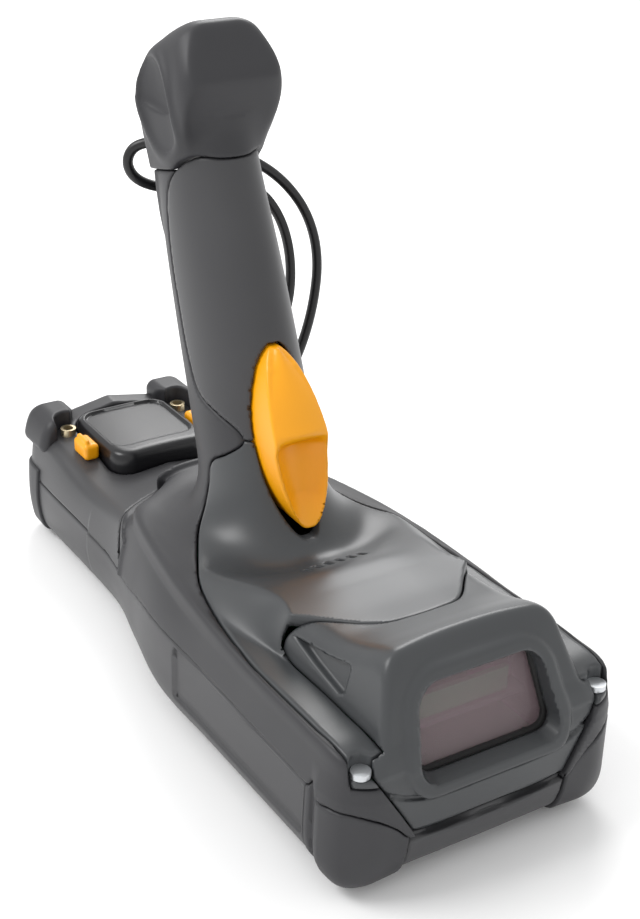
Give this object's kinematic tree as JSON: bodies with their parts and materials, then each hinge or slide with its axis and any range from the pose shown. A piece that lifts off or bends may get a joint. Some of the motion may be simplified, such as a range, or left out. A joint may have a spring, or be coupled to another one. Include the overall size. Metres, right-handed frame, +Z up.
{
  "type": "portable barcode data terminal",
  "caption": "Handheld barcode data terminal with a pistol grip, trigger, scan window, removable battery, keypad and touch display, lying on its display face.",
  "frame": {"origin": "under the middle of the object, on the surface it lies on, display face down", "axes": "+X along the body towards the scan window, +Y across towards the side that is on the right seen from behind the window's beam, +Z up along the grip"},
  "size_m": [0.231, 0.095, 0.189],
  "materials": {
    "black_abs": "fine-textured black ABS/polycarbonate",
    "dark_cover": "semi-gloss black moulded plastic",
    "soft_black": "satin black elastomer",
    "battery_black": "matt black battery case",
    "latch_yellow": "yellow latch plastic",
    "trigger_yellow": "orange-yellow moulded plastic",
    "window_glass": "tinted clear scan window",
    "gasket_rubber": "soft gasket",
    "engine_metal": "dark die-cast chassis",
    "mirror_face": "front-silvered mirror",
    "laser_brass": "brass laser barrel",
    "board_green": "green circuit board",
    "display_panel": "display module in a dark frame",
    "touch_glass": "touch panel over the display",
    "key_grey": "light grey keys",
    "key_dark": "dark keys",
    "key_accent": "yellow scan key",
    "mat_silicone": "translucent silicone mat",
    "speaker_metal": "speaker frame",
    "led_clear": "frosted lens",
    "contact_gold": "plated contact block",
    "steel": "plain steel",
    "zinc_screw": "zinc-plated screw",
    "switch_black": "switch case",
    "cord_black": "black coated cord",
    "insert_brass": "threaded brass insert"
  },
  "bodies": {
    "housing": {"display_housing": "black_abs", "rear_housing": "dark_cover", "grip_front_panel": "black_abs", "deck_cover": "dark_cover", "scan_hood": "dark_cover", "tail_housing": "dark_cover", "nose_bumper_left": "soft_black", "nose_bumper_right": "soft_black", "tail_bumper_left": "soft_black", "tail_bumper_right": "soft_black", "tail_ear_left": "soft_black", "tail_ear_right": "soft_black", "butt_cap": "soft_black", "scan_window": "window_glass", "window_gasket": "gasket_rubber", "scan_engine_chassis": "engine_metal", "laser_module": "laser_brass", "scan_engine_board": "board_green", "main_board": "board_green", "display_module": "display_panel", "touch_panel": "touch_glass", "keypad_bezel": "black_abs", "keypad_mat": "mat_silicone", "keypad_board": "board_green", "speaker": "speaker_metal", "led_lens": "led_clear", "battery_contacts": "contact_gold", "trigger_pin": "steel", "trigger_spring": "steel", "trigger_switch": "switch_black", "tether_cord": "cord_black", "tether_ferrules": "steel", "tail_inserts": "insert_brass", "nose_screws": "zinc_screw", "board_screws": "steel"},
    "battery": {"battery_pack": "battery_black"},
    "latch_left": {"battery_latch_left": "latch_yellow"},
    "latch_right": {"battery_latch_right": "latch_yellow"},
    "trigger_body": {"trigger": "trigger_yellow"},
    "mirror_body": {"scan_mirror": "mirror_face"},
    "key_body_function": {"key_function": "key_dark"},
    "key_body_up": {"key_up": "key_dark"},
    "key_body_backspace": {"key_backspace": "key_dark"},
    "key_body_left": {"key_left": "key_dark"},
    "key_body_scan": {"key_scan": "key_accent"},
    "key_body_right": {"key_right": "key_dark"},
    "key_body_power": {"key_power": "key_dark"},
    "key_body_down": {"key_down": "key_dark"},
    "key_body_1": {"key_1": "key_grey"},
    "key_body_2": {"key_2": "key_grey"},
    "key_body_3": {"key_3": "key_grey"},
    "key_body_4": {"key_4": "key_grey"},
    "key_body_5": {"key_5": "key_grey"},
    "key_body_6": {"key_6": "key_grey"},
    "key_body_7": {"key_7": "key_grey"},
    "key_body_8": {"key_8": "key_grey"},
    "key_body_9": {"key_9": "key_grey"},
    "key_body_star": {"key_star": "key_grey"},
    "key_body_0": {"key_0": "key_grey"},
    "key_body_hash": {"key_hash": "key_grey"}
  },
  "joints": [
    {"name": "trigger_pull", "type": "hinge", "parent": "housing", "child": "trigger_body", "pos_m": [-0.003, 0, 0.0975], "axis": [0, 1, 0], "range_deg": [0, 5.5], "stiffness_Nm_per_rad": 0.25},
    {"name": "battery_lift", "type": "slide", "parent": "housing", "child": "battery", "axis": [0, 0, 1], "range_m": [0, 0.025]},
    {"name": "latch_left_slide", "type": "slide", "parent": "housing", "child": "latch_left", "axis": [0, -1, 0], "range_m": [0, 0.002], "stiffness_N_per_m": 400},
    {"name": "latch_right_slide", "type": "slide", "parent": "housing", "child": "latch_right", "axis": [0, 1, 0], "range_m": [0, 0.002], "stiffness_N_per_m": 400},
    {"name": "mirror_sweep", "type": "hinge", "parent": "housing", "child": "mirror_body", "pos_m": [0.087, 0, 0.046], "axis": [0, 0, 1], "range_deg": [-12, 12], "stiffness_Nm_per_rad": 0.01},
    {"name": "press_function", "type": "slide", "parent": "housing", "child": "key_body_function", "axis": [0, 0, 1], "range_m": [0, 0.001], "stiffness_N_per_m": 600},
    {"name": "press_up", "type": "slide", "parent": "housing", "child": "key_body_up", "axis": [0, 0, 1], "range_m": [0, 0.001], "stiffness_N_per_m": 600},
    {"name": "press_backspace", "type": "slide", "parent": "housing", "child": "key_body_backspace", "axis": [0, 0, 1], "range_m": [0, 0.001], "stiffness_N_per_m": 600},
    {"name": "press_left", "type": "slide", "parent": "housing", "child": "key_body_left", "axis": [0, 0, 1], "range_m": [0, 0.001], "stiffness_N_per_m": 600},
    {"name": "press_scan", "type": "slide", "parent": "housing", "child": "key_body_scan", "axis": [0, 0, 1], "range_m": [0, 0.001], "stiffness_N_per_m": 600},
    {"name": "press_right", "type": "slide", "parent": "housing", "child": "key_body_right", "axis": [0, 0, 1], "range_m": [0, 0.001], "stiffness_N_per_m": 600},
    {"name": "press_power", "type": "slide", "parent": "housing", "child": "key_body_power", "axis": [0, 0, 1], "range_m": [0, 0.001], "stiffness_N_per_m": 600},
    {"name": "press_down", "type": "slide", "parent": "housing", "child": "key_body_down", "axis": [0, 0, 1], "range_m": [0, 0.001], "stiffness_N_per_m": 600},
    {"name": "press_1", "type": "slide", "parent": "housing", "child": "key_body_1", "axis": [0, 0, 1], "range_m": [0, 0.001], "stiffness_N_per_m": 600},
    {"name": "press_2", "type": "slide", "parent": "housing", "child": "key_body_2", "axis": [0, 0, 1], "range_m": [0, 0.001], "stiffness_N_per_m": 600},
    {"name": "press_3", "type": "slide", "parent": "housing", "child": "key_body_3", "axis": [0, 0, 1], "range_m": [0, 0.001], "stiffness_N_per_m": 600},
    {"name": "press_4", "type": "slide", "parent": "housing", "child": "key_body_4", "axis": [0, 0, 1], "range_m": [0, 0.001], "stiffness_N_per_m": 600},
    {"name": "press_5", "type": "slide", "parent": "housing", "child": "key_body_5", "axis": [0, 0, 1], "range_m": [0, 0.001], "stiffness_N_per_m": 600},
    {"name": "press_6", "type": "slide", "parent": "housing", "child": "key_body_6", "axis": [0, 0, 1], "range_m": [0, 0.001], "stiffness_N_per_m": 600},
    {"name": "press_7", "type": "slide", "parent": "housing", "child": "key_body_7", "axis": [0, 0, 1], "range_m": [0, 0.001], "stiffness_N_per_m": 600},
    {"name": "press_8", "type": "slide", "parent": "housing", "child": "key_body_8", "axis": [0, 0, 1], "range_m": [0, 0.001], "stiffness_N_per_m": 600},
    {"name": "press_9", "type": "slide", "parent": "housing", "child": "key_body_9", "axis": [0, 0, 1], "range_m": [0, 0.001], "stiffness_N_per_m": 600},
    {"name": "press_star", "type": "slide", "parent": "housing", "child": "key_body_star", "axis": [0, 0, 1], "range_m": [0, 0.001], "stiffness_N_per_m": 600},
    {"name": "press_0", "type": "slide", "parent": "housing", "child": "key_body_0", "axis": [0, 0, 1], "range_m": [0, 0.001], "stiffness_N_per_m": 600},
    {"name": "press_hash", "type": "slide", "parent": "housing", "child": "key_body_hash", "axis": [0, 0, 1], "range_m": [0, 0.001], "stiffness_N_per_m": 600}
  ]
}
